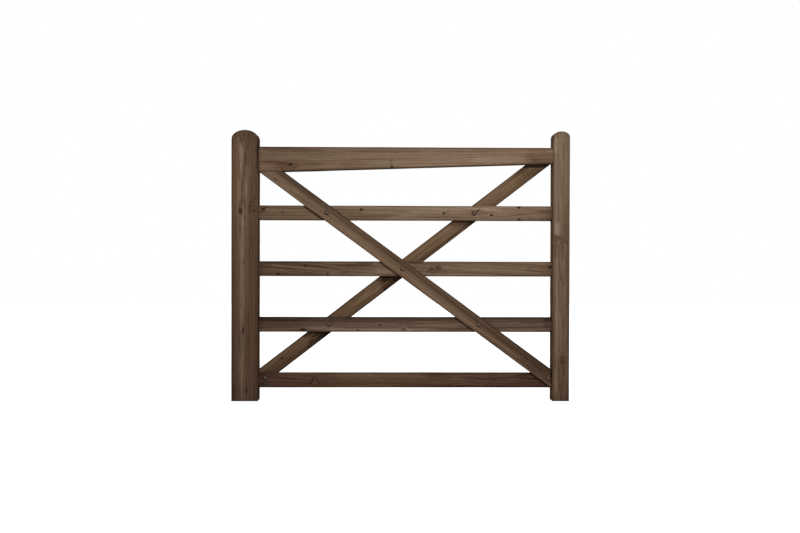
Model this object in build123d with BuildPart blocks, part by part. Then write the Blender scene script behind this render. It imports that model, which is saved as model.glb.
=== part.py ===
import os

from build123d import *

# A small five-bar gate leaf, in millimetres. X runs along the gate from the hanging stile
# to the closing stile, -Y is the front, and Z is up from the feet of the stiles.
# The middle of the frame's thickness is at Y = 0.

# Overall size
gate_width = 1500
gate_height = 1200
frame_thickness = 75

# Stiles, with tops rounded to half an ellipse
hanging_stile_width = 118
closing_stile_width = 75
hanging_dome_rise = 40
closing_dome_rise = 25
frame_arris = 4

# Top rail, deep at the heel by the hanging stile and tapered on its underside
top_rail_top = 1126
top_rail_heel_depth = 111
top_rail_toe_depth = 67.5
top_tenon_thickness = 25
top_tenon_shoulder = 12

# Boards: four thin rails between the stiles, and two braces
board_depth = 66
board_thickness = 22
board_arris = 3
bottom_rail_centre = 90.5
rail_pitch = 248.2
brace_head_inset = 3
brace_foot_drop = 2
brace_housing_depth = 12

# Carriage bolts, one at each crossing of a brace and a rail
bolt_diameter = 8
bolt_hole_diameter = 9
bolt_head_diameter = 20
bolt_head_height = 4.6
bolt_head_rim = 0.8
bolt_neck_length = 5
bolt_end_chamfer = 1
washer_diameter = 24
washer_thickness = 2
nut_across_flats = 13
nut_height = 6.5
nut_corner_bevel = 0.8
nut_turn_step = 17
thread_past_nut = 3
front_foot_bolt_inset = 19
rear_foot_bolt_inset = 28
foot_bolt_rise = 10

# Pegs that lock the tenons, driven from the back, left a little proud there and stopped short of the front
peg_diameter = 12
peg_length = 60
peg_point = 2
peg_proud = 1.5
hanging_peg_inset = 45
top_peg_spacing = 46

# Lines that the timbers share
hanging_inner = hanging_stile_width - gate_width / 2
closing_inner = gate_width / 2 - closing_stile_width
heel_underside = top_rail_top - top_rail_heel_depth
toe_underside = top_rail_top - top_rail_toe_depth
taper = (toe_underside - heel_underside) / (closing_inner - hanging_inner)
rail_names = ["bottom_rail", "lower_rail", "middle_rail", "upper_rail"]
rail_centres = {name: bottom_rail_centre + i * rail_pitch for i, name in enumerate(rail_names)}
bottom_rail_underside = bottom_rail_centre - board_depth / 2
toward_front = (0, -1, 0)
toward_back = (0, 1, 0)

# How far in front of the middle plane the front face of each board lies
board_fronts = {name: board_thickness / 2 for name in rail_names}
board_fronts["front_brace"] = board_thickness * 3 / 2
board_fronts["rear_brace"] = -board_thickness / 2


def underside_at(x):
    return heel_underside + taper * (x - hanging_inner)


# The lower edge of each brace, from the underside of the top rail to the foot of the far stile
brace_foot = bottom_rail_underside - brace_foot_drop
front_head_x = hanging_inner + brace_head_inset
rear_head_x = closing_inner - brace_head_inset
brace_edges = {
    "front_brace": (Vector(front_head_x, underside_at(front_head_x)), Vector(closing_inner, brace_foot)),
    "rear_brace": (Vector(rear_head_x, underside_at(rear_head_x)), Vector(hanging_inner, brace_foot)),
}


def brace_middle_at(name, z):
    # X where the middle line of a brace passes a height
    head, foot = brace_edges[name]
    run = foot - head
    middle_rise = board_depth / 2 * run.length / abs(run.X)
    return head.X + run.X * (z - middle_rise - head.Y) / run.Y


def crossing(brace, rail):
    z = rail_centres[rail]
    return (brace_middle_at(brace, z), z)


# Each bolt's place, and the boards that it clamps from front to back
foot_bolt_z = bottom_rail_centre + foot_bolt_rise
middle_z = rail_centres["middle_rail"]
centre_x = (brace_middle_at("front_brace", middle_z) + brace_middle_at("rear_brace", middle_z)) / 2
bolts = {
    "front_upper": (crossing("front_brace", "upper_rail"), ["front_brace", "upper_rail"]),
    "front_lower": (crossing("front_brace", "lower_rail"), ["front_brace", "lower_rail"]),
    "front_foot": ((closing_inner - front_foot_bolt_inset, foot_bolt_z), ["front_brace", "bottom_rail"]),
    "centre": ((centre_x, middle_z), ["front_brace", "middle_rail", "rear_brace"]),
    "rear_upper": (crossing("rear_brace", "upper_rail"), ["upper_rail", "rear_brace"]),
    "rear_lower": (crossing("rear_brace", "lower_rail"), ["lower_rail", "rear_brace"]),
    "rear_foot": ((hanging_inner + rear_foot_bolt_inset, foot_bolt_z), ["bottom_rail", "rear_brace"]),
}

# Each peg's place, and the stile and rail that it locks
hanging_peg_x = hanging_inner - hanging_peg_inset
closing_peg_x = closing_inner + closing_stile_width / 2
heel_middle = top_rail_top - top_rail_heel_depth / 2
toe_middle = top_rail_top - top_rail_toe_depth / 2
high_peg_z = heel_middle + top_peg_spacing / 2
low_peg_z = heel_middle - top_peg_spacing / 2
pegs = {
    "hanging_top_peg_high": ((hanging_peg_x, high_peg_z), "hanging_stile", "top_rail"),
    "hanging_top_peg_low": ((hanging_peg_x, low_peg_z), "hanging_stile", "top_rail"),
    "closing_top_peg": ((closing_peg_x, toe_middle), "closing_stile", "top_rail"),
}
for rail, z in rail_centres.items():
    pegs[f"hanging_{rail}_peg"] = ((hanging_peg_x, z), "hanging_stile", rail)
    pegs[f"closing_{rail}_peg"] = ((closing_peg_x, z), "closing_stile", rail)


def bore_for_bolts(board_name):
    # Clearance holes, with a square socket for the neck in the board under the head
    for (x, z), layers in bolts.values():
        if board_name not in layers:
            continue
        with Locations(Plane(origin=(x, -frame_thickness, z), z_dir=toward_front)):
            Hole(bolt_hole_diameter / 2)
        if board_name == layers[0]:
            neck_middle = bolt_neck_length / 2 - board_fronts[board_name]
            with Locations((x, neck_middle, z)):
                Box(bolt_diameter, bolt_neck_length, bolt_diameter, mode=Mode.SUBTRACT)


def bore_for_pegs(timber_name):
    for (x, z), stile_name, rail_name in pegs.values():
        if timber_name in (stile_name, rail_name):
            with Locations(Plane(origin=(x, frame_thickness / 2, z), z_dir=toward_back)):
                Hole(peg_diameter / 2, depth=peg_length - peg_proud)


def make_rail(name):
    # A plain board through both stiles, its full section serving as the tenons
    with BuildPart() as rail:
        with BuildSketch(Plane.YZ.offset(-gate_width / 2)):
            with Locations((0, rail_centres[name])):
                RectangleRounded(board_thickness, board_depth, board_arris)
        extrude(amount=gate_width)
        bore_for_bolts(name)
        bore_for_pegs(name)
    rail.part.label = name
    return rail.part


def make_brace(name):
    # A sloping board, cut off at the stiles, at the bottom rail and at the housing in the top rail
    head, foot = brace_edges[name]
    along = (foot - head).normalized()
    over_run = along * board_depth
    across = Vector(-along.Y, along.X)
    across = across * board_depth if across.Y > 0 else across * -board_depth
    start, end = head - over_run, foot + over_run
    with BuildPart() as brace:
        with BuildSketch(Plane.XZ.offset(board_fronts[name])):
            with BuildLine():
                Polyline(start, end, end + across, start + across, close=True)
            make_face()
            with BuildLine():
                Polyline(
                    (hanging_inner, bottom_rail_underside),
                    (closing_inner, bottom_rail_underside),
                    (closing_inner, toe_underside + brace_housing_depth),
                    (hanging_inner, heel_underside + brace_housing_depth),
                    close=True,
                )
            make_face(mode=Mode.INTERSECT)
        extrude(amount=-board_thickness)
        fillet(brace.edges().sort_by(SortBy.LENGTH)[-4:], radius=board_arris)
        bore_for_bolts(name)
    brace.part.label = name
    return brace.part


rails = [make_rail(name) for name in rail_names]
braces = [make_brace(name) for name in brace_edges]

# The top rail: tapered body, through tenons, and housings for the brace heads
tenons = [(-gate_width / 2, hanging_inner, heel_underside), (gate_width / 2, closing_inner, toe_underside)]
with BuildPart() as top_rail:
    with BuildSketch(Plane.XZ):
        with BuildLine():
            Polyline(
                (hanging_inner, heel_underside),
                (closing_inner, toe_underside),
                (closing_inner, top_rail_top),
                (hanging_inner, top_rail_top),
                close=True,
            )
        make_face()
    extrude(amount=frame_thickness / 2, both=True)
    fillet(top_rail.edges().sort_by(SortBy.LENGTH)[-4:], radius=frame_arris)
    with BuildSketch(Plane.XZ):
        for end, shoulder, underside in tenons:
            low, high = underside + top_tenon_shoulder, top_rail_top - top_tenon_shoulder
            with Locations(((end + shoulder) / 2, (low + high) / 2)):
                Rectangle(abs(end - shoulder), high - low)
    extrude(amount=top_tenon_thickness / 2, both=True)
    add(braces, mode=Mode.SUBTRACT)
    bore_for_pegs("top_rail")
top_rail.part.label = "top_rail"


def make_stile(name, left, right, dome_rise):
    spring = gate_height - dome_rise
    with BuildPart() as stile:
        with BuildSketch(Plane.XZ):
            with BuildLine():
                Polyline((left, spring), (left, 0), (right, 0), (right, spring))
                EllipticalCenterArc(
                    ((left + right) / 2, spring), (right - left) / 2, dome_rise, start_angle=0, arc_size=180
                )
            make_face()
        extrude(amount=frame_thickness / 2, both=True)
        face_edges = stile.faces().filter_by(Axis.Y).edges()
        fillet(face_edges.filter_by_position(Axis.Z, 1, gate_height), radius=frame_arris)
        add([*rails, top_rail.part], mode=Mode.SUBTRACT)
        bore_for_pegs(name)
    stile.part.label = name
    return stile.part


stiles = [
    make_stile("hanging_stile", -gate_width / 2, hanging_inner, hanging_dome_rise),
    make_stile("closing_stile", closing_inner, gate_width / 2, closing_dome_rise),
]


def make_peg(name, place):
    with BuildPart() as peg:
        with BuildSketch(Plane.XZ.offset(-frame_thickness / 2 - peg_proud)):
            with Locations(place):
                Circle(peg_diameter / 2)
        extrude(amount=peg_length)
        chamfer(peg.edges().sort_by(Axis.Y)[0], length=peg_point)
    peg.part.label = name
    return peg.part


def make_bolt(name, place, layers):
    # Domed head, square neck and round shank, turned about the bolt's own axis
    x, z = place
    seat = -board_fronts[layers[0]]
    grip = len(layers) * board_thickness
    length = grip + washer_thickness + nut_height + thread_past_nut
    profile_plane = Plane(origin=(x, seat, z), x_dir=(1, 0, 0), z_dir=(0, 0, 1))
    head_radius = bolt_head_diameter / 2
    shank_radius = bolt_diameter / 2
    with BuildPart() as bolt:
        with BuildSketch(profile_plane):
            with BuildLine():
                TangentArc((0, -bolt_head_height), (head_radius, -bolt_head_rim), tangent=(1, 0))
                Polyline(
                    (head_radius, -bolt_head_rim),
                    (head_radius, 0),
                    (shank_radius, 0),
                    (shank_radius, length - bolt_end_chamfer),
                    (shank_radius - bolt_end_chamfer, length),
                    (0, length),
                    (0, -bolt_head_height),
                )
            make_face()
        revolve(axis=Axis((x, seat, z), toward_back))
        with Locations((x, seat + bolt_neck_length / 2, z)):
            Box(bolt_diameter, bolt_neck_length, bolt_diameter)
    bolt.part.label = f"{name}_bolt"
    return bolt.part


def make_washer(name, place, layers):
    back = board_thickness - board_fronts[layers[-1]]
    with BuildPart() as washer:
        with BuildSketch(Plane.XZ.offset(-back)):
            with Locations(place):
                Circle(washer_diameter / 2)
                Circle(bolt_hole_diameter / 2, mode=Mode.SUBTRACT)
        extrude(amount=-washer_thickness)
    washer.part.label = f"{name}_washer"
    return washer.part


def make_nut(name, place, layers, turn):
    # A hexagon whose outer corners are bevelled by a turned profile
    x, z = place
    seat = board_thickness - board_fronts[layers[-1]] + washer_thickness
    corner_radius = nut_across_flats / 3 ** 0.5
    profile_plane = Plane(origin=(x, seat, z), x_dir=(1, 0, 0), z_dir=(0, 0, 1))
    with BuildPart() as nut:
        with BuildSketch(Plane.XZ.offset(-seat)):
            with Locations(place):
                RegularPolygon(nut_across_flats / 2, 6, major_radius=False, rotation=turn)
                Circle(bolt_diameter / 2, mode=Mode.SUBTRACT)
        extrude(amount=-nut_height)
        with BuildSketch(profile_plane):
            with BuildLine():
                Polyline(
                    (0, 0),
                    (corner_radius, 0),
                    (corner_radius, nut_height - nut_corner_bevel),
                    (nut_across_flats / 2, nut_height),
                    (0, nut_height),
                    close=True,
                )
            make_face()
        revolve(axis=Axis((x, seat, z), toward_back), mode=Mode.INTERSECT)
    nut.part.label = f"{name}_nut"
    return nut.part


pieces = [*stiles, top_rail.part, *rails, *braces]
for name, (place, stile_name, rail_name) in pegs.items():
    pieces.append(make_peg(name, place))
for i, (name, (place, layers)) in enumerate(bolts.items()):
    pieces.append(make_bolt(name, place, layers))
    pieces.append(make_washer(name, place, layers))
    pieces.append(make_nut(name, place, layers, turn=i * nut_turn_step))

os.makedirs("parts", exist_ok=True)
for piece in pieces:
    export_step(piece, f"parts/{piece.label}.step")
    print(piece.label, len(piece.solids()), "solid", round(piece.volume), "mm3")
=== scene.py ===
import math
from functools import partial

import bpy
import numpy as np
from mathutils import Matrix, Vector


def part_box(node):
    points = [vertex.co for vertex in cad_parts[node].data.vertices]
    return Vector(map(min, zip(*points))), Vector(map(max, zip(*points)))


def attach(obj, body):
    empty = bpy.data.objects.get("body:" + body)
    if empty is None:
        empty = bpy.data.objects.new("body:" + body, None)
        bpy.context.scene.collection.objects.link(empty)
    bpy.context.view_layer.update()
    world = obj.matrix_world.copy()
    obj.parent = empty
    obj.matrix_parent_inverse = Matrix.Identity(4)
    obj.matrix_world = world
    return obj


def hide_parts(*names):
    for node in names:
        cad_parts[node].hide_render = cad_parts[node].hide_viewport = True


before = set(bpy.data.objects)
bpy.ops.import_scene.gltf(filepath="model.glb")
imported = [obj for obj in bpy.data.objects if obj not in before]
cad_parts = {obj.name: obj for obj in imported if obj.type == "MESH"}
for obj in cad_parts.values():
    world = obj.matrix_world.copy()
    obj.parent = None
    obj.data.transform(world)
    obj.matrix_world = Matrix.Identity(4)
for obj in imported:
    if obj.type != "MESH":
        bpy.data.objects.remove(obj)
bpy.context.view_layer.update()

scene = bpy.context.scene
scene.view_settings.view_transform = "Standard"
mm = 0.001
quarter = math.pi / 2
white = (1.0, 1.0, 1.0, 1.0)


def linear(red, green, blue):
    # a colour picked on screen, as the linear values that the nodes work in
    value = np.array((red, green, blue)) / 255
    value = np.where(value <= 0.04045, value / 12.92, ((value + 0.055) / 1.055) ** 2.4)
    return (*value.tolist(), 1.0)


def addObject(name, data):
    made = bpy.data.objects.new(name, data)
    scene.collection.objects.link(made)
    return made


# Short ways to write shader nodes

def link(socket, value):
    # a socket takes another node's output, or a plain value
    if hasattr(value, "is_output"):
        socket.id_data.links.new(value, socket)
    else:
        socket.default_value = value


def addNode(tree, kind, inputs=(), **settings):
    # inputs come in their order, or by name in a dictionary
    node = tree.nodes.new("ShaderNode" + kind)
    for label, value in settings.items():
        setattr(node, label, value)
    for label, value in inputs.items() if isinstance(inputs, dict) else enumerate(inputs):
        link(node.inputs[label], value)
    return node


def treeOf(*values):
    # the tree that the first socket among these values is in
    return next(value.id_data for value in values if hasattr(value, "is_output"))


def calc(operation, *values, clamp=False):
    return addNode(treeOf(*values), "Math", values, operation=operation, use_clamp=clamp).outputs[0]


def vectorCalc(operation, *values):
    node = addNode(treeOf(*values), "VectorMath", values, operation=operation)
    return node.outputs["Value" if operation in ("LENGTH", "DOT_PRODUCT") else "Vector"]


plus, minus, times, divide = (partial(calc, name) for name in ("ADD", "SUBTRACT", "MULTIPLY", "DIVIDE"))
larger, timesPlus = partial(calc, "MAXIMUM"), partial(calc, "MULTIPLY_ADD")
vectorPlus, vectorMinus, vectorTimes, lengthOf = (
    partial(vectorCalc, name) for name in ("ADD", "SUBTRACT", "MULTIPLY", "LENGTH"))


def total(base, *parts):
    # the base, and every part times its weight
    for part, weight in parts:
        base = timesPlus(part, weight, base)
    return base


def ease(value, start, end, low=0.0, high=1.0):
    # low at the start, high at the end, and a smooth step between; the end may be the smaller of the two
    node = addNode(value.id_data, "MapRange", (value, start, end, low, high),
                   interpolation_type="SMOOTHSTEP")
    return node.outputs[0]


def fade(value, start, end):
    return ease(value, start, end, 1.0, 0.0)


def split(vector):
    return addNode(vector.id_data, "SeparateXYZ", [vector]).outputs


def join(x, y, z):
    return addNode(treeOf(x, y, z), "CombineXYZ", (x, y, z)).outputs[0]


def cloudy(vector, perMetre, seed, detail=2.0):
    # soft noise; perMetre is how often it changes along, across and through
    inputs = {"Vector": vectorTimes(vector, perMetre), "W": seed, "Scale": 1.0, "Detail": detail}
    return addNode(vector.id_data, "TexNoise", inputs, noise_dimensions="4D").outputs


def noise(vector, perMetre, seed, detail=2.0):
    # the same, centred on zero
    return minus(cloudy(vector, perMetre, seed, detail)["Fac"], 0.5)


def blend(amount, low, high, way="MIX"):
    # from one colour to the other; MULTIPLY tints the first by the second, as a clear stain would
    node = addNode(treeOf(amount, low, high), "Mix", {"Factor": amount, "A": low, "B": high},
                   data_type="RGBA", blend_type=way)
    return node.outputs["Result"]


def seenBy(tree, *rays):
    # one for the kinds of ray named, and zero for the others
    path = addNode(tree, "LightPath").outputs
    seen = path[f"Is {rays[0]} Ray"]
    for ray in rays[1:]:
        seen = larger(seen, path[f"Is {ray} Ray"])
    return seen


vectorSockets = ("Vector", "Centre", "Turn", "Extent", "Pith", "Lean")
colourSockets = ("Tint", "Colour")


def newGroup(name, inputs, outputs):
    # an empty node group with sockets of these names; returns it, what it is given and what it puts out
    group = bpy.data.node_groups.new(name, "ShaderNodeTree")
    for side, labels in (("INPUT", inputs), ("OUTPUT", outputs)):
        for label in labels.split(", "):
            kind = "Vector" if label in vectorSockets else "Color" if label in colourSockets else "Float"
            group.interface.new_socket(label, in_out=side, socket_type="NodeSocket" + kind)
    given = group.nodes.new("NodeGroupInput").outputs
    return group, given, group.nodes.new("NodeGroupOutput").inputs


def place(tree, group, values):
    return addNode(tree, "Group", values, node_tree=group).outputs


def newMaterial(name):
    material = bpy.data.materials.new(name)
    material.use_nodes = True
    return material, material.node_tree, material.node_tree.nodes["Principled BSDF"]


def paint(shader, values):
    for label, value in values.items():
        link(shader.inputs[label], value)


def roughen(surface, height, depth, strength=1.0):
    inputs = {"Height": height, "Distance": depth, "Strength": strength}
    link(surface.inputs["Normal"], addNode(height.id_data, "Bump", inputs).outputs["Normal"])


# Camera, floor and light

studio = {
    "cameraPlace": (-0.0858, -4.5534, 0.6478),
    "cameraTurn": (89.368, -0.142, -1.033),
    "lens": 45.87,
    "sensor": 36.0,
    "floorHalf": 9.0,
    "floorGlow": (0.80, 1.0),  # near the gate, and far from it
    "floorFade": (1.0, 3.0),
    "floorColour": linear(204, 204, 204),
    "ambient": 0.36,
    "lampRadius": 0.22,
    "keyPlace": (0.15, -4.0, 2.25),  # over the camera, so the shadows are short
    "keyAim": (0.40, 0.0, 1.05),  # high and to the right, and it fades toward the far corner
    "keySpread": 58.0,
    "keyPower": 560.0,
    "backPlace": (0.1, 6.0, 1.9),  # far off and low, to light the back and little else
    "backAim": (0.0, 0.0, 0.8),
    "backSpread": 34.0,
    "backPower": 1150.0,
}


def setCamera():
    lens = bpy.data.cameras.new("camera")
    lens.lens = studio["lens"]
    lens.sensor_width = studio["sensor"]
    lens.sensor_fit = "HORIZONTAL"
    scene.camera = addObject("camera", lens)
    scene.camera.location = studio["cameraPlace"]
    scene.camera.rotation_euler = [math.radians(turn) for turn in studio["cameraTurn"]]


def hangLamp(side):
    # a soft spot, turned to look at its aim
    lamp = bpy.data.lights.new(side + "Light", "SPOT")
    lamp.energy = studio[side + "Power"]
    lamp.spot_size = math.radians(studio[side + "Spread"])
    lamp.spot_blend = 1.0
    lamp.shadow_soft_size = studio["lampRadius"]
    hung = addObject(side + "Light", lamp)
    hung.location = studio[side + "Place"]
    x, y, z = np.subtract(studio[side + "Aim"], studio[side + "Place"])
    hung.rotation_euler = (math.atan2(math.hypot(x, y), -z), 0.0, math.atan2(-x, y))


def setWorld():
    # white for what looks straight at it or mirrors it, a low even light for the rest
    scene.world = bpy.data.worlds.new("studio")
    scene.world.use_nodes = True
    tree = scene.world.node_tree
    seen = seenBy(tree, "Camera", "Glossy", "Transmission")
    paint(tree.nodes["Background"], {
        "Color": white, "Strength": ease(seen, 0.0, 1.0, studio["ambient"], 1.0)})


def layFloor():
    # a pale floor that glows white for the camera, so only the shadow on it shows
    half = studio["floorHalf"]
    corners = [(-half, -half, 0), (half, -half, 0), (half, half, 0), (-half, half, 0)]
    mesh = bpy.data.meshes.new("floor")
    mesh.from_pydata(corners, [], [(0, 1, 2, 3)])
    material, tree, surface = newMaterial("paleFloor")
    away = lengthOf(addNode(tree, "TexCoord").outputs["Object"])
    glow = ease(away, *studio["floorFade"], *studio["floorGlow"])
    paint(surface, {
        "Base Color": studio["floorColour"], "Roughness": 0.9, "Specular IOR Level": 0.0,
        "Emission Color": white, "Emission Strength": times(seenBy(tree, "Camera", "Glossy"), glow)})
    mesh.materials.append(material)
    floor = addObject("floor", mesh)


setCamera()
setWorld()
layFloor()
hangLamp("key")
hangLamp("back")
print("camera, floor and light set")

# Finishes that several timbers share

knotTaper = 0.7  # how much depth counts beside width, so a knot goes in further than it is wide


def buildKnotGroup():
    # grain lines part round a knot: across-distance from its centre shrinks near it, so lines spread
    group, given, out = newGroup("knot", "Vector, Centre, Size, Stretch, Bend", "Vector, Core, Rim, Halo")
    along, across, through = split(vectorMinus(given["Vector"], given["Centre"]))
    along = divide(along, given["Stretch"])
    depth = times(through, knotTaper)
    distance = divide(lengthOf(join(along, across, depth)), given["Size"])
    ragged = timesPlus(noise(given["Vector"], (95, 130, 60), 3.1, 1.0), 1.7, distance)
    link(out["Core"], fade(ragged, 0.66, 0.98))
    link(out["Rim"], fade(calc("ABSOLUTE", minus(ragged, 1.0)), 0.0, 0.34))
    link(out["Halo"], fade(distance, 0.9, 2.6))
    reach = lengthOf(join(divide(along, 2.4), divide(across, 1.5), depth))
    pull = times(fade(divide(reach, given["Size"]), 0.0, 2.0), given["Bend"])
    link(out["Vector"], vectorMinus(given["Vector"], join(0.0, times(pull, across), 0.0)))
    return group


def buildBandGroup():
    # a lengthwise stripe of other colour, such as heartwood: two soft edges that drift and waver
    group, given, out = newGroup(
        "stainBand", "Vector, Across, Width, Drift, Soft Low, Soft High, Waver, Seed", "Mask")
    along, across = split(given["Vector"])[:2]
    across = minus(minus(across, given["Across"]), times(along, given["Drift"]))
    waver = noise(given["Vector"], (2.6, 30, 12), given["Seed"])
    across = timesPlus(waver, given["Waver"], across)
    half = times(given["Width"], 0.5)
    aboveLow = divide(plus(across, half), given["Soft Low"])
    belowHigh = divide(minus(half, across), given["Soft High"])
    link(out["Mask"], times(ease(aboveLow, -1.0, 1.0), ease(belowHigh, -1.0, 1.0)))
    return group


def buildMarkGroup():
    # a soft long mark in the grain, dark or pale: one inside its ellipse, ragged at the edge
    group, given, out = newGroup("grainMark", "Vector, Centre, Turn, Extent, Ragged", "Mask")
    turned = addNode(group, "Mapping", {
        "Vector": given["Vector"], "Location": given["Centre"], "Rotation": given["Turn"],
        "Scale": given["Extent"]}, vector_type="TEXTURE")
    distance = timesPlus(given["Ragged"], 0.9, lengthOf(turned.outputs["Vector"]))
    link(out["Mask"], fade(distance, 0.65, 1.15))
    return group


ringInputs = "Vector, Pith, Lean, Ring Width, Wander, Seed"


def buildRingGroup():
    # rings are cylinders round the pith, a leaning and wandering line; each goes pale to dark and back
    group, given, out = newGroup("growthRings", ringInputs, "Late")
    lean = vectorTimes(given["Lean"], split(given["Vector"])[0])
    drift = cloudy(given["Vector"], (1.5, 7, 7), given["Seed"])["Color"]
    wander = vectorTimes(vectorMinus(drift, (0.5, 0.5, 0.5)), given["Wander"])
    fromPith = vectorMinus(vectorMinus(given["Vector"], given["Pith"]), lean)
    radius = lengthOf(vectorTimes(vectorPlus(fromPith, wander), (0, 1, 1)))
    radiusLine = join(radius, 0.0, 0.0)
    uneven = noise(radiusLine, (55, 1, 1), given["Seed"])
    year = calc("FRACT", timesPlus(uneven, 2.0, divide(radius, given["Ring Width"])))
    late = minus(ease(year, 0.25, 0.86), ease(year, 0.93, 1.0))
    strength = noise(radiusLine, (120, 1, 1), plus(given["Seed"], 4.0))
    link(out["Late"], times(late, timesPlus(strength, 1.6, 0.75, clamp=True)))
    return group


palette = {  # the brown stain from its darkest to its palest
    0.00: linear(24, 17, 13),
    0.25: linear(64, 48, 37),
    0.50: linear(97, 78, 62),
    0.75: linear(126, 106, 88),
    1.00: linear(160, 139, 119),
}
redder = (1.06, 0.89, 0.84, 1.0)  # what it is multiplied by where it is reddish
cooler = (0.93, 1.00, 1.05, 1.0)  # and where it is greyish


def buildSoftwoodGroup(ringGroup):
    # tone is added up from rings, streaks, knots and painted shade along the arrises, then read off the
    # stain's palette
    group, given, out = newGroup(
        "stainedSoftwood",
        ringInputs + ", Tone, Core, Rim, Halo, Arris, End, Iron, Ring Depth, Streak Depth, Red, Tint",
        "Colour, Roughness, Height")
    core, rim, end = given["Core"], given["Rim"], given["End"]

    def vary(perMetre, seedShift, detail):
        return noise(given["Vector"], perMetre, plus(given["Seed"], seedShift), detail)

    fibre = vary((16, 800, 800), 0.0, 3.0)
    streak = vary((0.9, 60, 60), 3.0, 3.0)
    line = vary((2, 125, 125), 5.0, 1.0)
    blotch = vary((3, 17, 17), 7.0, 2.0)
    redness = vary((1.6, 34, 34), 11.0, 2.0)
    fleck = vary((45, 230, 230), 13.0, 1.0)
    late = place(group, ringGroup, {label: given[label] for label in ringInputs.split(", ")})["Late"]
    # painted shade along the arrises, broken up by blotches
    edge = times(timesPlus(blotch, 1.2, 0.75, clamp=True), given["Arris"])
    tone = total(
        given["Tone"], (minus(0.35, late), given["Ring Depth"]), (streak, given["Streak Depth"]),
        (line, 0.34), (blotch, 0.18), (fibre, 0.18), (fleck, 0.16),
        (given["Halo"], -0.03), (end, -0.10), (edge, -0.17))
    tone = times(tone, timesPlus(given["Iron"], -0.18, 1.0))
    toKnot = times(minus(timesPlus(fibre, 0.2, 0.03), tone), core)
    tone = timesPlus(rim, -0.26, timesPlus(toKnot, 0.85, tone), clamp=True)
    ramp = addNode(group, "ValToRGB", [tone])
    stops = ramp.color_ramp.elements
    while len(stops) < len(palette):
        stops.new(0.5)
    for stop, (position, colour) in zip(stops, palette.items()):
        stop.position = position
        stop.color = colour
    red = total(given["Red"], (redness, 1.6), (core, 0.5))
    colour = blend(plus(red, 0.0, clamp=True), ramp.outputs["Color"], redder, "MULTIPLY")
    colour = blend(times(red, -1.0, clamp=True), colour, cooler, "MULTIPLY")
    link(out["Colour"], blend(1.0, colour, given["Tint"], "MULTIPLY"))
    rough = total(0.66, (fibre, 0.25), (core, -0.12))
    link(out["Roughness"], timesPlus(end, 0.12, rough, clamp=True))
    link(out["Height"], total(times(fibre, 1.1), (late, 0.35), (core, 0.3), (rim, -0.7)))
    return group


def buildRustAndShadeGroup():
    # the dark stain that damp iron leaves in the wood round a bolt head, which is also painted shade round
    # the head
    group, given, out = newGroup("ironStain", "Vector, Centre, Reach", "Mask")
    offset = vectorTimes(vectorMinus(given["Vector"], given["Centre"]), (0.62, 1.0, 0.4))
    spread = noise(given["Vector"], (60, 140, 60), 5.7)
    distance = timesPlus(spread, 0.7, divide(lengthOf(offset), given["Reach"]))
    link(out["Mask"], fade(distance, 0.50, 0.95))
    return group


def buildMottleGroup():
    # cloudy patches, and a fine grain to break up gloss
    group, given, out = newGroup("mottle", "Vector, Seed", "Cloud, Grain")
    cloud = noise(given["Vector"], (150, 150, 150), given["Seed"], 3.0)
    link(out["Cloud"], timesPlus(cloud, 2.4, 0.5, clamp=True))
    link(out["Grain"], noise(given["Vector"], (1400, 1400, 1400), given["Seed"]))
    return group


knotGroup = buildKnotGroup()
bandGroup = buildBandGroup()
markGroup = buildMarkGroup()
softwoodGroup = buildSoftwoodGroup(buildRingGroup())
rustAndShadeGroup = buildRustAndShadeGroup()
mottleGroup = buildMottleGroup()


def localPoint(timber, x, y, z):
    # a point of the gate in the timber's own directions: along it, across it, and toward the front
    ox, oy, oz = timber["origin"]
    cosine, sine = math.cos(timber["slope"]), math.sin(timber["slope"])
    return ((x - ox) * cosine + (z - oz) * sine, (z - oz) * cosine - (x - ox) * sine, oy - y)


def camel(node):
    first, *others = node.split("_")
    return first + "".join(word.capitalize() for word in others)


knotBend = 0.85  # how far the grain parts round a knot
rustAndShadeReach = 12 * mm
markDepth = 15 * mm  # how far in from the front a streak or curl goes
reliefDepth, reliefStrength = 0.5 * mm, 0.5
bandSizes = ("Across", "Width", "Soft Low", "Soft High", "Drift", "Waver")


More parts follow.
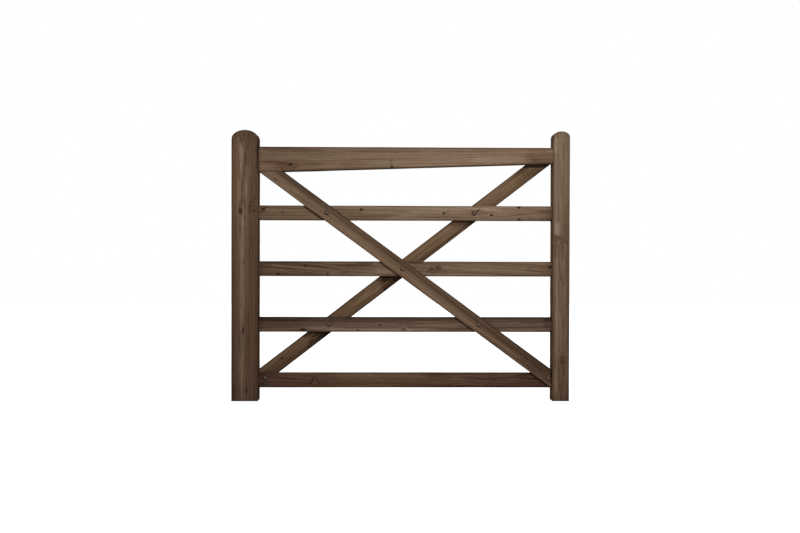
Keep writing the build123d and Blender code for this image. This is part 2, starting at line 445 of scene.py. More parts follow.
def timberWood(timber):
    # the timber's own stained softwood: knots bend its grain; bands, marks and end shade set its tone
    material, tree, surface = newMaterial(camel(timber["node"]) + "Wood")
    slope, seed = timber["slope"], timber["seed"]
    coord = addNode(tree, "TexCoord").outputs
    turned = addNode(tree, "Mapping", {
        "Vector": coord["Object"], "Location": timber["origin"], "Rotation": (quarter, -slope, 0.0)},
        vector_type="TEXTURE")
    grain = local = turned.outputs["Vector"]
    along = split(local)[0]
    core = rim = halo = rustAndShade = 0.0

    def onFace(x, z, side=-1):
        # a place on the timber's front, or on its back where side is one
        return localPoint(timber, x * mm, timber["origin"][1] + side * timber["thickness"] / 2, z * mm)

    for x, z, size, stretch, coreDepth, rimDepth in timber["knots"]:
        knot = place(tree, knotGroup, {
            "Vector": grain, "Centre": onFace(x, z, -1 if size > 0 else 1), "Size": abs(size) * mm,
            "Stretch": stretch, "Bend": knotBend})
        grain = knot["Vector"]
        core = larger(core, times(knot["Core"], coreDepth))
        rim = larger(rim, times(knot["Rim"], rimDepth))
        halo = larger(halo, knot["Halo"])
    # rust round each bolt head and washer, which round the heads is also painted shade
    for mark in rustAndShadeMarks(timber["node"]):
        rust = {"Vector": local, "Centre": localPoint(timber, *mark), "Reach": rustAndShadeReach}
        rustAndShade = larger(rustAndShade, place(tree, rustAndShadeGroup, rust)["Mask"])
    masks = []  # each with what it adds to the tone and to the red
    for i, (*sizes, change, redChange) in enumerate(timber["bands"]):
        band = {label: size * mm for label, size in zip(bandSizes, sizes)}
        band.update({"Vector": grain, "Seed": seed + i})
        masks.append((place(tree, bandGroup, band)["Mask"], change, redChange))
    grain = vectorMinus(grain, join(0.0, times(along, timber["slant"]), 0.0))
    ragged = noise(grain, (40, 180, 60), seed + 2.0)
    streaks = [(*sizes, 0, change, 0) for *sizes, change in timber["streaks"]]
    for x, z, length, width, angle, change, redChange in streaks + timber["curls"]:
        mark = place(tree, markGroup, {
            "Vector": local, "Centre": onFace(x, z), "Ragged": ragged,
            "Turn": (0.0, 0.0, math.radians(angle)), "Extent": (length * mm, width * mm, markDepth)})
        masks.append((mark["Mask"], change, redChange))
    tone = total(timber["tone"], *((mask, change) for mask, change, redChange in masks))
    red = total(timber["red"], *((mask, redChange) for mask, change, redChange in masks if redChange))
    # the short shades at the rails' ends are painted shade beside the stiles
    for full, start, change in timber["shades"]:
        tone = plus(tone, ease(along, start * mm, full * mm, 0.0, change))
    grainLine = (math.cos(slope), 0.0, math.sin(slope))
    facing = calc("ABSOLUTE", vectorCalc("DOT_PRODUCT", coord["Normal"], grainLine))
    finish = place(tree, softwoodGroup, {
        "Vector": grain, "Seed": seed, "Tone": tone, "Red": red, "Tint": (*timber["tint"], 1.0),
        "Core": core, "Rim": rim, "Halo": halo, "Iron": rustAndShade, "End": ease(facing, 0.55, 0.85),
        "Arris": addNode(tree, "Attribute", attribute_name="arris").outputs["Fac"],
        "Pith": (0.0, *(part * mm for part in timber["pith"])),
        "Lean": (0.0, *(part * mm for part in timber["lean"])),
        "Ring Width": timber["ringWidth"] * mm, "Wander": timber["wander"] * mm,
        "Ring Depth": timber["ringDepth"], "Streak Depth": timber["streakDepth"]})
    paint(surface, {
        "Base Color": finish["Colour"], "Roughness": finish["Roughness"],
        "Specular IOR Level": 0.0})  # dry and matt, even at a glancing angle
    roughen(surface, finish["Height"], reliefDepth, reliefStrength)
    return material


# Meshes from whole arrays; a shell is its points and its sets of quads or triangles

def makeMesh(name, *shells):
    # closed shells, numbered on from one to the next, as one mesh
    points = np.concatenate([shell[0] for shell in shells])
    starts = np.cumsum([0] + [len(shell[0]) for shell in shells])
    faceSets = [faces + start for start, shell in zip(starts, shells) for faces in shell[1]]
    corners = np.concatenate([faces.ravel() for faces in faceSets]).astype(np.int32)
    sizes = np.concatenate([np.full(len(faces), faces.shape[1]) for faces in faceSets])
    mesh = bpy.data.meshes.new(name)
    mesh.vertices.add(len(points))
    mesh.vertices.foreach_set("co", points.astype(np.float32).ravel())
    mesh.loops.add(len(corners))
    mesh.loops.foreach_set("vertex_index", corners)
    mesh.polygons.add(len(sizes))
    mesh.polygons.foreach_set("loop_start", (np.cumsum(sizes) - sizes).astype(np.int32))
    mesh.update(calc_edges=True)
    mesh.validate()
    return mesh


def gridShell(grid, poles=None):
    # rings of points joined by quads; fans close them at two poles, or else the last ring meets the first
    rows, columns = grid.shape[:2]
    index = np.arange(rows * columns).reshape(rows, columns)
    beside = np.roll(index, -1, axis=1)
    above, aboveBeside = np.roll(index, -1, axis=0), np.roll(beside, -1, axis=0)
    quads = np.stack([index, beside, aboveBeside, above], axis=-1)
    points = grid.reshape(-1, 3)
    if poles is None:
        return points, [quads.reshape(-1, 4)]
    first, last = np.full(columns, len(points)), np.full(columns, len(points) + 1)
    fans = np.concatenate([
        np.stack([first, beside[0], index[0]], axis=-1),
        np.stack([last, index[-1], beside[-1]], axis=-1)])
    return np.concatenate([points, poles]), [quads[:-1].reshape(-1, 4), fans]


def fullTurn(columns):
    return np.linspace(0, 2 * math.pi, columns, endpoint=False)[None, :]


def roundGrid(x, z, y, radius, turn):
    # radius and turn about a line from front to back, as points
    y, radius, turn = np.broadcast_arrays(y, radius, turn)
    return np.stack([x + radius * np.sin(turn), y, z + radius * np.cos(turn)], axis=-1)


def rodShell(x, z, front, back, radius, columns=32):
    # a plain round bar from front to back, to bore with
    grid = roundGrid(x, z, np.array([[front], [back]]), radius, fullTurn(columns))
    return gridShell(grid, [(x, front, z), (x, back, z)])


def roundedSection(halfWide, halfDeep, rounding, corner=5):
    # once round a rectangle: the middle of each corner's round, plus the round turned outward
    turn = np.linspace(0, quarter, corner)[None, :] + np.arange(4)[:, None] * quarter
    middle = turn.mean(axis=1, keepdims=True)
    across = np.sign(np.cos(middle)) * (halfWide - rounding) + rounding * np.cos(turn)
    through = np.sign(np.sin(middle)) * (halfDeep - rounding) + rounding * np.sin(turn)
    return across.ravel(), through.ravel()


def barShell(low, high, rounding):
    # a bar along X whose section is a rounded rectangle, to cut a mortise with
    across, through = roundedSection((high[2] - low[2]) / 2, (high[1] - low[1]) / 2, rounding)
    y, z = (low[1] + high[1]) / 2 - through, (low[2] + high[2]) / 2 + across
    grid = np.stack([np.stack([0 * y + x, y, z], axis=-1) for x in (low[0], high[0])])
    return gridShell(grid, grid.mean(axis=1))


def addPiece(name, mesh, material, slot, *nodes):
    piece = addObject(name, mesh)
    mesh.materials.append(material)
    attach(piece, "root")
    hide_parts(*nodes)
    return piece


timberSharp, fastenerSharp = 38, 32  # degrees from which an edge stays sharp


def smooth(mesh, sharpAngle):
    mesh.shade_smooth()
    mesh.set_sharp_from_angle(angle=math.radians(sharpAngle))


def cutAway(piece, cutterSets):
    # takes each set of shells out of a timber and keeps the result as its mesh
    cutters = []
    for shells in filter(None, cutterSets):
        cutter = addObject("cutter", makeMesh("cutter", *shells))
        cut = piece.modifiers.new("cut", "BOOLEAN")
        cut.operation = "DIFFERENCE"
        cut.solver = "EXACT"
        cut.object = cutter
        cutters.append(cutter)
    depsgraph = bpy.context.evaluated_depsgraph_get()
    result = bpy.data.meshes.new_from_object(piece.evaluated_get(depsgraph))
    piece.modifiers.clear()
    spare = [piece.data] + [cutter.data for cutter in cutters]
    piece.data = result
    for cutter in cutters:
        bpy.data.objects.remove(cutter)
    for mesh in spare:
        bpy.data.meshes.remove(mesh)
    result.name = piece.name


# A timber is a rounded section carried along its grain

pieces = {}  # the finished timbers, by node
cornerColumns = 6
besideArris = np.array((2, 5)) * mm  # columns that keep a flat true up to its arrises
besideEnd = np.array((2, 4, 6.5)) * mm  # and rows that do so at its ends
besideCheck = np.array((-2.5, -1.0, -0.5, 0.0, 0.5, 1.0, 2.5))  # columns of a drying check, in gapes
checkReach = 14 * mm  # how far beside a drying check the surface is drawn along
squarely = 0.99  # columns that look this squarely outward are on a flat
wearAndShade = {
    "swing": 0.45,  # how much an arris comes and goes along it
    "dent": 2.2,  # how much wider it is in a dent
    "dentLevel": 0.45,  # dents are where their ripple is over this
    "least": 0.2 * mm,  # how much larger than the round of an end it stays there
    "settle": 40,  # how soon past an end the faces are uneven
    "grime": 3 * mm,  # how far in from an arris, or from an end, the painted shade reaches
}
waves = {  # slowest and quickest, in waves per metre along, across and through
    "swing": ((1, 1, 0), (9, 3, 0)),
    "dent": ((5, 1, 0), (26, 4, 0)),
    "face": ((0.5, 4, 4), (5, 20, 20)),
    "check": ((1, 0, 0), (5, 0, 0)),
}


def flatStops(half, cells, extra=()):
    # stops across one flat of the section, closer beside its two arrises
    near = half - besideArris
    near = near[near > 1 * mm]
    middle = np.linspace(-near.min(), near.min(), cells + 1)
    return np.unique(np.round(np.concatenate([-near, near, middle, extra]), 6)) / half


def sectionColumns(timber):
    # once round the rounded rectangle: each column has its share of the half sizes and its way outward
    halfWide, halfDeep = (timber[label] / 2 - timber["arris"] for label in ("width", "thickness"))
    wideCells, deepCells = timber["cells"][1:]

    def faceStops(face):
        lines = [(check["across"] + check["gape"] * besideCheck) * mm
                 for check in timber["checks"] if check["face"] == face]
        return flatStops(halfWide, wideCells, np.concatenate([[], *lines]))

    side = flatStops(halfDeep, deepCells)
    flats = ((side, 1.0), (faceStops(1)[::-1], 1.0), (side[::-1], -1.0), (faceStops(-1), -1.0))
    columns = []
    for i, (stops, way) in enumerate(flats):
        one = np.full(len(stops), way)
        columns.append((stops, one, 0 * one, one) if i % 2 else (one, stops, one, 0 * one))
        turn = np.linspace(0, quarter, cornerColumns) + i * quarter
        signs = [np.full(cornerColumns, np.sign(part(turn.mean()))) for part in (math.cos, math.sin)]
        columns.append((*signs, np.cos(turn), np.sin(turn)))
    return [np.concatenate(parts)[None, :] for parts in zip(*columns)]


def plankRows(cells, startRound, endRound, length, capRings=7, roundCells=4):
    # rows from pole to pole: cap rings, a quarter round, the run with close rows at its ends, and back
    ring = np.linspace(0, 1, capRings + 1)[1:]
    turn = np.linspace(0, quarter, roundCells + 1)[1:-1]
    close = besideEnd / length
    run = np.unique(np.concatenate([np.linspace(0, 1, cells + 1), close, 1 - close]))
    none = 0 * turn
    parts = {
        "share": [0 * ring, none, run, none + 1, 0 * ring + 1],
        "shift": [0 * ring, startRound * (1 - np.cos(turn)), startRound * (1 - run) - endRound * run,
                  -endRound * (1 - np.cos(turn[::-1])), 0 * ring],
        "inset": [0 * ring + startRound, startRound * (1 - np.sin(turn)), 0 * run,
                  endRound * (1 - np.sin(turn[::-1])), 0 * ring + endRound],
        "shrink": [ring, none + 1, 0 * run + 1, none + 1, ring[::-1]],
    }
    return {label: np.concatenate(part)[:, None] for label, part in parts.items()}


def ripple(seed, along, across, through, slow, quick, count=10):
    # a smooth random field: plane waves of seeded pitch and phase, averaged
    draw = np.random.default_rng(seed)
    pitch = draw.uniform(slow, quick, (count, 3)) * draw.choice((-1.0, 1.0), (count, 3))
    phase = draw.uniform(0, 2 * math.pi, count)
    points = np.stack(np.broadcast_arrays(along, across, through), axis=-1)
    return np.cos(2 * math.pi * (points @ pitch.T) + phase).mean(axis=-1)


def openChecks(timber, along, across, through, outDeep):
    # a drying check draws nearby columns onto its wavering line, and sinks them into a narrow V there
    for i, check in enumerate(timber["checks"]):
        line, start, end, gape, depth, waver = (
            check[label] * mm for label in ("across", "start", "end", "gape", "depth", "waver"))
        onFace = (check["face"] * outDeep > squarely).astype(float)
        drift = waver * ripple(timber["seed"] * 7 + i, along, 0.0, 0.0, *waves["check"], 4)
        near = np.clip(1 - np.abs(across - line) / checkReach, 0, 1) * onFace
        across = across + drift * near
        off = np.abs(across - line - drift) / gape
        middle, half = (start + end) / 2, (end - start) / 2
        length = np.clip(1 - ((along - middle) / half) ** 2, 0, 1) ** 0.5
        through = through - check["face"] * depth * length * np.clip(1 - off, 0, 1) * onFace
    return across, through


def carryTimber(timber, rows, alongAt, middle, halfWide, halfDeep):
    # section points are half sizes less the arris, plus the arris turned outward; arrises wear unevenly
    shareWide, shareDeep, outWide, outDeep = sectionColumns(timber)
    share, inset, shrink = rows["share"], rows["inset"], rows["shrink"]
    seed, run = timber["seed"], share * timber["length"]
    corner = np.sign(shareWide) * 0.3 + np.sign(shareDeep) * 0.7  # a value of its own for each arris
    swing = ripple(seed + 1, run, corner, 0.0, *waves["swing"])
    dent = ripple(seed + 2, run, corner, 0.0, *waves["dent"], 6)
    dent = np.clip(dent - wearAndShade["dentLevel"], 0, 1)
    arris = timber["arris"] * (1 + wearAndShade["swing"] * swing + wearAndShade["dent"] * dent)
    arris = np.maximum(arris, inset + wearAndShade["least"])
    across = middle + shrink * (shareWide * (halfWide - arris) + (arris - inset) * outWide)
    through = shrink * (shareDeep * (halfDeep - arris) + (arris - inset) * outDeep)
    along = alongAt(across) + 0 * through
    whole = shrink > 0.999
    body = whole * np.clip(share * (1 - share) * wearAndShade["settle"], 0, 1)
    swell = timber["uneven"] * body * ripple(seed + 3, along, across, through, *waves["face"])
    across, through = across + swell * outWide, through + swell * outDeep
    across, through = openChecks(timber, along, across, through, outDeep)
    # painted shade: the wood is drawn darker near each arris and each end, weighted for each side by the
    # timber
    flatWide, flatDeep = (1 - np.abs(shareWide)) * halfWide, (1 - np.abs(shareDeep)) * halfDeep
    fromArris = np.where(np.abs(outWide) > squarely, flatDeep, 0.0)
    fromArris = np.where(np.abs(outDeep) > squarely, flatWide, fromArris)
    fromEnd = np.minimum(share, 1 - share) * timber["length"]
    edge = np.exp(-fromEnd / wearAndShade["grime"]) * (np.abs(outDeep) > 0.5)
    edge = np.maximum(edge, np.exp(-fromArris / wearAndShade["grime"])) * whole
    lowShade, highShade = timber["edges"]
    edge = edge * (lowShade + (highShade - lowShade) * (shareWide + 1) / 2)
    return along, across, through, edge


def toGate(timber, along, across, through):
    # from the timber's own directions back to the gate's
    ox, oy, oz = timber["origin"]
    cosine, sine = math.cos(timber["slope"]), math.sin(timber["slope"])
    x, z = ox + along * cosine - across * sine, oz + along * sine + across * cosine
    return np.stack([x, oy - through, z], axis=-1)


def timberPiece(timber, rows, alongAt, middle, halfWide, halfDeep):
    # the carried section as a piece, which keeps in an attribute how much painted shade each point takes
    # near its arrises and ends
    along, across, through, edge = carryTimber(timber, rows, alongAt, middle, halfWide, halfDeep)
    grid = toGate(timber, along, across, through)
    poles = [toGate(timber, along[i].mean(), across[i].mean(), 0.0) for i in (0, -1)]
    node, name = timber["node"], camel(timber["node"])
    mesh = makeMesh(name, gridShell(grid, poles))
    paintedShadeWeight = mesh.attributes.new("arris", "FLOAT", "POINT")
    paintedShadeWeight.data.foreach_set("value", np.concatenate([edge.ravel(), [0, 0]]).astype(np.float32))
    pieces[node] = addPiece(name, mesh, timberWood(timber), timber["slot"], node)


def boardPiece(timber, rows, endsAt):
    # a straight board; endsAt gives where its two ends lie at each point across it
    def alongAt(across):
        start, end = endsAt(across)
        return start * (1 - rows["share"]) + end * rows["share"] + rows["shift"]

    timberPiece(timber, rows, alongAt, 0.0, timber["width"] / 2, timber["thickness"] / 2)


# Lines that the timbers share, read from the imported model

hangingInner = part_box("hanging_stile")[1].x
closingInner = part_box("closing_stile")[0].x
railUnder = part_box("bottom_rail")[0].z
heelUnder, toeUnder = 1.015, 1.0585  # the underside of the top rail at either end
topTaper = (toeUnder - heelUnder) / (closingInner - hangingInner)
clampedBoards = {  # what each bolt goes through, from its head to its nut
    "front_upper": ("front_brace", "upper_rail"),
    "front_lower": ("front_brace", "lower_rail"),
    "front_foot": ("front_brace", "bottom_rail"),
    "centre": ("front_brace", "middle_rail", "rear_brace"),
    "rear_upper": ("upper_rail", "rear_brace"),
    "rear_lower": ("lower_rail", "rear_brace"),
    "rear_foot": ("bottom_rail", "rear_brace"),
}
rustAndShadeRun = (3 * mm, 2 * mm)  # how far the rust of a head has run along the grain and down, which also puts its painted shade low and left of the head


def sizeOf(node):
    return [high - low for low, high in zip(*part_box(node))]


def middleOf(node):
    return tuple((low + high) / 2 for low, high in zip(*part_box(node)))


def axisOf(node):
    # the X and Z of a turned node's middle line
    return middleOf(node)[::2]


def rustAndShadeMarks(node):
    # where a board has a bolt head on its front, or a washer on its back
    low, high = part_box(node)
    marks = []
    for name, layers in clampedBoards.items():
        x, z = axisOf(name + "_bolt")
        if layers[0] == node:
            marks.append((x - rustAndShadeRun[0], low.y, z - rustAndShadeRun[1]))
        if layers[-1] == node:
            marks.append((x, high.y, z))
    return marks


# The figure of each timber is in millimetres on the gate, on its front unless a knot's size is below zero
# knots: x, z, size, stretch along the grain, depth of the core and of the rim
# streaks, along the grain: x, z, half length, half width, tone
# curls, turned from the grain: x, z, half length, half width, angle, tone, red
# bands, from end to end: across, width, softness low and high, drift, waver, tone, red
# shades, toward an end: where it is full, where it starts, tone; the short ones at the ends of the rails
# and the top rail are painted shade beside the stiles

# The two stiles, with domed tops

hangingStile = {
    "node": "hanging_stile", "domeRise": 40 * mm, "cells": (120, 17, 10),
    "knots": [
        (-709, 839, 7, 1.8, 0.6, 1), (-660, 850, 9, 1.4, 0.1, 0.2), (-694, 812, 3.5, 1, 1, 1),
        (-694, 616, 3, 1, 0.7, 1), (-697, 314, 3.5, 3, 0.3, 0.5), (-681, 48, 6, 1.4, 0.1, 0.2),
        (-718, 430, -9, 1.5, 0.5, 1), (-666, 980, -5, 1.3, 0.8, 0.9),
    ],
    "checks": [
        {"face": -1, "across": 9, "start": -340, "end": 300, "gape": 0.6, "depth": 5, "waver": 5},
        {"face": 1, "across": -31, "start": -200, "end": 160, "gape": 0.45, "depth": 3, "waver": 3},
    ],
    "streaks": [
        (-706, 1085, 62, 11, 0.17), (-708, 1010, 45, 8, 0.17), (-713, 935, 55, 8, 0.16),
        (-679, 1155, 45, 13, -0.14), (-688, 940, 60, 8, 0.14), (-687, 1075, 45, 5, -0.13),
        (-702, 822, 50, 16, 0.10), (-700, 720, 115, 11, 0.13), (-703, 490, 180, 11, 0.12),
        (-702, 170, 180, 10, 0.08),
    ],
    "curls": [
        (-710, 1163, 30, 2.5, 11, -0.22, 0), (-699, 1163, 30, 2.5, -11, -0.22, 0),
        (-648, 899, 8, 3, -16, -0.17, 0), (-662, 881, 9, 3.5, -21, -0.17, 0),
        (-670, 864, 6, 3, -28, -0.14, 0), (-650, 842, 11, 3.5, -48, -0.18, 0),
        (-708, 834, 10, 4, 5, -0.08, 0), (-712, 1030, 85, 1.8, 5, -0.14, 0),
        # the curl at x -634 is painted shade along the stile's inner arris where the top rail meets it
        (-694, 1025, 85, 1.8, -2, -0.14, 0), (-634, 1090, 75, 5, 0, -0.28, 0),
        (-678, 1085, 50, 9, 0, -0.09, 0), (-735, 1020, 170, 13, 0, 0.02, 0.5),
        (-697, 311, 27, 4, -8, -0.08, 0.8), (-738, 40, 40, 13, 0, -0.06, 0.5),
    ],
    "tone": 0.48, "seed": 11, "red": 0.08, "tint": (1.00, 1.00, 0.99), "edges": (0.0, 0.8),
    "pith": (16, -2), "lean": (6, 14), "ringWidth": 4.6, "wander": 16, "slant": 0,
    "ringDepth": 0.14, "streakDepth": 0.34, "shades": [(-600, 450, -0.08), (600, 545, -0.1)],
    "bands": [
        (60, 34, 14, 9, 0, 4, -0.07, 0.5), (12, 46, 12, 14, 0, 4, 0.05, 0),
        (-58, 52, 10, 10, 0, 4, -0.11, 0.1),
    ],
}
closingStile = {
    "node": "closing_stile", "domeRise": 25 * mm, "cells": (120, 12, 10),
    "knots": [
        (690, 720, 9, 1.7, 0.06, 0.1), (730, 960, -6, 1.6, 0.4, 0.9), (700, 460, -8, 1.4, 0.6, 1),
    ],
    "checks": [
        {"face": -1, "across": -6, "start": -100, "end": 480, "gape": 0.5, "depth": 4, "waver": 4},
    ],
    "streaks": [
        (687, 1140, 40, 11, 0.15), (690, 950, 215, 8, 0.05), (721, 1117, 63, 7, -0.12),
        (722, 850, 220, 8, -0.08), (690, 676, 40, 13, -0.10), (693, 540, 180, 7, 0.08),
        (691, 300, 115, 8, 0.12), (690, 95, 60, 8, 0.10), (712, 113, 135, 14, -0.11),
    ],
    "curls": [
        (695, 765, 36, 15, -5, 0.17, -0.3), (686, 724, 18, 20, 0, -0.07, 0.55),
        (695, 732, 30, 6, 62, -0.10, 0.2), (733, 710, 17, 4, 49, -0.14, 0),
        (676, 692, 11, 5, 20, -0.12, 0.4), (699, 706, 13, 2, 45, 0.16, 0),
        (708, 705, 8, 3, 45, -0.14, 0.3), (697, 695, 6, 4, 0, -0.1, 0.4),
        (715, 714, 12, 2.5, 48, -0.09, 0), (732, 690, 10, 2, 45, 0.1, 0),
        (715, 227, 11, 2, 40, 0.16, 0), (734, 207, 10, 2, 50, 0.14, 0), (713, 208, 9, 2, -50, 0.1, 0),
        (722, 186, 22, 18, 0, -0.06, 0), (714, 170, 5, 4, 40, -0.14, 0), (703, 233, 6, 3, -20, -0.08, 0),
    ],
    "tone": 0.63, "seed": 23, "red": 0.00, "tint": (1.00, 1.01, 1.00), "edges": (0.6, 0.2),
    "pith": (-6, -28), "lean": (5, 18), "ringWidth": 4.2, "wander": 14, "slant": 0.01,
    "ringDepth": 0.10, "streakDepth": 0.30,
    "shades": [(-600, 500, -0.16), (-600, -550, -0.08), (600, 560, -0.06)],
    "bands": [(40, 14, 5, 4, 0, 1, -0.08, 0), (-34, 36, 8, 10, 0, 4, -0.08, 0.1)],
}
stileStock = {"slot": "stile_timber", "arris": 4 * mm, "uneven": 0.5 * mm, "slope": quarter}
footRound = 1.2 * mm


def makeStile(stile):
    # the top is half an ellipse over the width, so the run ends where that ellipse lies
    width, thickness, length = sizeOf(stile["node"])
    stile.update(stileStock, origin=middleOf(stile["node"]),
                 width=width, thickness=thickness, length=length)
    top = length / 2

    def endsAt(across):
        crown = np.sqrt(np.clip(1 - (2 * across / width) ** 2, 0, 1))
        return -top, top - stile["domeRise"] * (1 - crown)

    boardPiece(stile, plankRows(stile["cells"][0], footRound, stile["arris"], length), endsAt)


makeStile(hangingStile)
makeStile(closingStile)
print("stiles made")

# The four thin rails, which pass through both stiles

bottomRail = {
    "node": "bottom_rail",
    "knots": [
        (-387, 94, 7, 1.2, 0.2, 0.4), (220, 80, -6, 1.5, 0.5, 0.9), (-150, 100, -4, 1.2, 0.8, 1),
    ],
    "streaks": [
        (-400, 118, 60, 6, 0.09), (-226, 112, 125, 6, 0.07), (-190, 102, 115, 4, 0.10),
        (170, 104, 70, 16, -0.08), (440, 106, 60, 10, -0.07), (355, 96, 90, 20, -0.05),
        (-315, 70, 190, 5, -0.09), (150, 66, 200, 6, -0.14),
    ],
    "curls": [
        (-393, 89, 27, 3, 58, -0.16, 0), (-368, 87, 25, 3, -62, -0.15, 0),
        (-402, 82, 14, 2, 60, -0.11, 0), (-382, 81, 18, 5, 70, 0.07, 0),
        (-608, 91, 18, 31, 0, -0.05, -1.2),
    ],
    "tone": 0.38, "seed": 31, "red": 0.60, "tint": (1.00, 1.00, 1.04), "edges": (1.5, 1.2),
    "pith": (20, -46), "lean": (4, 10), "ringWidth": 4.4, "wander": 20, "slant": -0.01,
    "ringDepth": 0.14, "streakDepth": 0.36,
    "shades": [(-660, -100, -0.04), (-640, -605, -0.03), (700, 100, -0.11)],
    "bands": [(22, 26, 12, 4, 0, 4, 0.05, 0)],
}
lowerRail = {
    "node": "lower_rail",
    "knots": [
        (-436, 315, 8, 1.4, 0.7, 0.6), (-94, 338, 4, 1.2, 0.8, 1), (13, 316, 6, 1.5, 0.4, 0.8),
        (-191, 314, 3, 1.6, 0.7, 1), (400, 350, -7, 1.4, 0.6, 1),
    ],
    "streaks": [
        (-70, 316, 320, 3.5, 0.14), (131, 313, 98, 4, 0.12), (-191, 313, 10, 2, -0.23),
        (130, 350, 98, 4, 0.14), (77, 343, 150, 3, -0.17), (160, 332, 105, 7, 0.11),
        (587, 347, 67, 4, -0.13), (587, 322, 67, 3, -0.13), (131, 326, 107, 2, -0.13),
        (-538, 356, 80, 2, -0.10), (-400, 366, 180, 5, 0.12),
    ],
    "curls": [
        (-337, 322, 90, 7, -1, 0.18, 0.4), (-405, 316, 35, 5, 0, 0.06, 0.3), (-437, 315, 13, 9, 0, 0, 0.9),
        (23, 323, 22, 2, -25, 0.17, 0), (650, 351, 16, 27, 0, -0.1, -0.9),
    ],
    "tone": 0.47, "seed": 43, "red": 0.00, "tint": (0.99, 1.00, 1.05), "edges": (0.3, 1.5),
    "pith": (-30, -38), "lean": (2, 9), "ringWidth": 4.8, "wander": 14, "slant": 0,
    "ringDepth": 0.19, "streakDepth": 0.44,
    "shades": [(-660, -50, -0.08), (-640, -600, -0.08), (680, 620, -0.1), (676, 660, -0.12)],
    "bands": [(26, 26, 5, 3, 2, 6, -0.12, -0.7)],
}
middleRail = {
    "node": "middle_rail",
    "knots": [
        (-425, 601, 3.5, 1.8, 0.8, 1), (-541, 563, 3.5, 1.6, 0.7, 0.6), (168, 594, 9, 1.1, 0.3, 1),
        (666, 597, 6, 1, 0.9, 1), (-325, 566, 3, 1.6, 0.6, 0.6), (-240, 590, -8, 1.3, 0.4, 0.8),
    ],
    "streaks": [
        (-218, 604, 115, 4, -0.19), (-600, 606, 35, 8, -0.12), (360, 562, 150, 4, 0.10),
        (-196, 588, 95, 26, -0.07),
    ],
    "curls": [
        (-533, 591, 85, 3, -5, -0.17, 0), (-351, 595, 105, 3, -7, -0.17, 0),
        (-418, 570, 100, 2.5, -4, -0.16, 0), (-182, 589, 75, 2, -8, -0.14, 0),
        (-156, 615, 55, 5, 0, -0.20, -0.5), (-449, 615, 180, 3, 0, -0.1, -0.5),
        (-549, 563, 11, 3, -50, -0.24, 0), (-328, 563, 10, 3, -50, -0.22, 0),
        (-250, 571, 30, 2, 4, -0.22, 0), (-246, 559, 32, 2, -3, -0.20, 0), (66, 614, 36, 3, 0, -0.18, 0),
        (161, 578, 50, 22, 0, -0.06, 0), (134, 583, 22, 3, 30, -0.26, 0), (145, 571, 18, 3, 20, -0.22, 0),
        (138, 599, 14, 2.5, 40, -0.16, 0), (599, 577, 45, 3, -8, -0.17, 0), (599, 599, 40, 2, 10, -0.15, 0),
        (644, 584, 27, 22, 0, -0.02, 0.5),
    ],
    "tone": 0.56, "seed": 59, "red": 0.00, "tint": (1.00, 1.00, 1.00), "edges": (1.6, 1.1),
    "pith": (-14, -30), "lean": (-16, 12), "ringWidth": 4.2, "wander": 15, "slant": -0.06,
    "ringDepth": 0.18, "streakDepth": 0.54,
    "shades": [(-660, 100, -0.11), (-640, -600, -0.12), (680, 610, -0.08), (676, 660, -0.14)],
    "bands": [],
}
upperRail = {
    "node": "upper_rail",
    "knots": [
        (-612, 850, 6, 1.1, 0.9, 1), (-526, 839, 3, 1.2, 0.4, 0.7), (-176, 852, 5, 1.3, 1, 1),
        (190, 836, 4.5, 1.5, 0.9, 1), (405, 828, 5, 1.4, 0.9, 1), (527, 863, 7, 1.1, 0.9, 1),
        (528, 807, 7, 1.1, 0.9, 1), (50, 830, -5, 1.5, 0.7, 1),
    ],
    "streaks": [
        (-125, 824, 150, 6, -0.22), (-150, 811, 110, 5, -0.16), (160, 820, 150, 4, -0.16),
        (-60, 835, 110, 5, 0.12), (227, 856, 225, 5, 0.13), (406, 846, 45, 15, 0.08),
        (576, 842, 45, 11, 0.07), (560, 860, 60, 4, -0.15),
    ],
    "curls": [
        (-603, 857, 8, 4, 35, -0.24, 0), (-620, 836, 7, 3, -30, -0.22, 0), (-624, 854, 5, 5, 0, -0.16, 0),
        (207, 843, 15, 3, 25, -0.2, 0), (209, 831, 14, 2, -12, -0.16, 0), (578, 813, 8, 3, 0, -0.19, 0),
        (552, 846, 26, 9, 0, 0.02, 0.6), (572, 828, 20, 6, -10, 0, 0.6), (319, 844, 6, 5, -15, -0.3, 0.5),
        (345, 849, 15, 3.5, 38, -0.4, 0.4),
    ],
    "tone": 0.67, "seed": 67, "red": 0.10, "tint": (1.00, 1.00, 0.99), "edges": (1.5, 1),
    "pith": (6, -34), "lean": (8, -12), "ringWidth": 4.4, "wander": 14, "slant": -0.01,
    "ringDepth": 0.18, "streakDepth": 0.50,
    "shades": [(-660, 0, -0.16), (-640, -610, -0.05), (680, 600, -0.16), (676, 660, -0.12)],
    "bands": [(-31, 6, 2, 2, 0, 3, -0.08, 0)],
}
boardStock = {
    "thickness": 22 * mm, "arris": 3 * mm, "cells": (140, 10, 3), "uneven": 0.35 * mm, "checks": []}
boardRound = 0.8 * mm  # of the arrises at a board's ends


def boardRows(board, capRings):
    return plankRows(board["cells"][0], boardRound, boardRound, board["length"], capRings)


def makeRail(rail):
    # a straight board, square at both ends, where it shows as a tenon
    length, width = sizeOf(rail["node"])[::2]
    rail.update(boardStock, slot="rail_timber", origin=middleOf(rail["node"]), slope=0.0,
                width=width, length=length)
    boardPiece(rail, boardRows(rail, 4), lambda across: (-length / 2, length / 2))


for rail in (bottomRail, lowerRail, middleRail, upperRail):
    makeRail(rail)
print("rails made")

# The top rail, deep at the heel and tapered on its underside

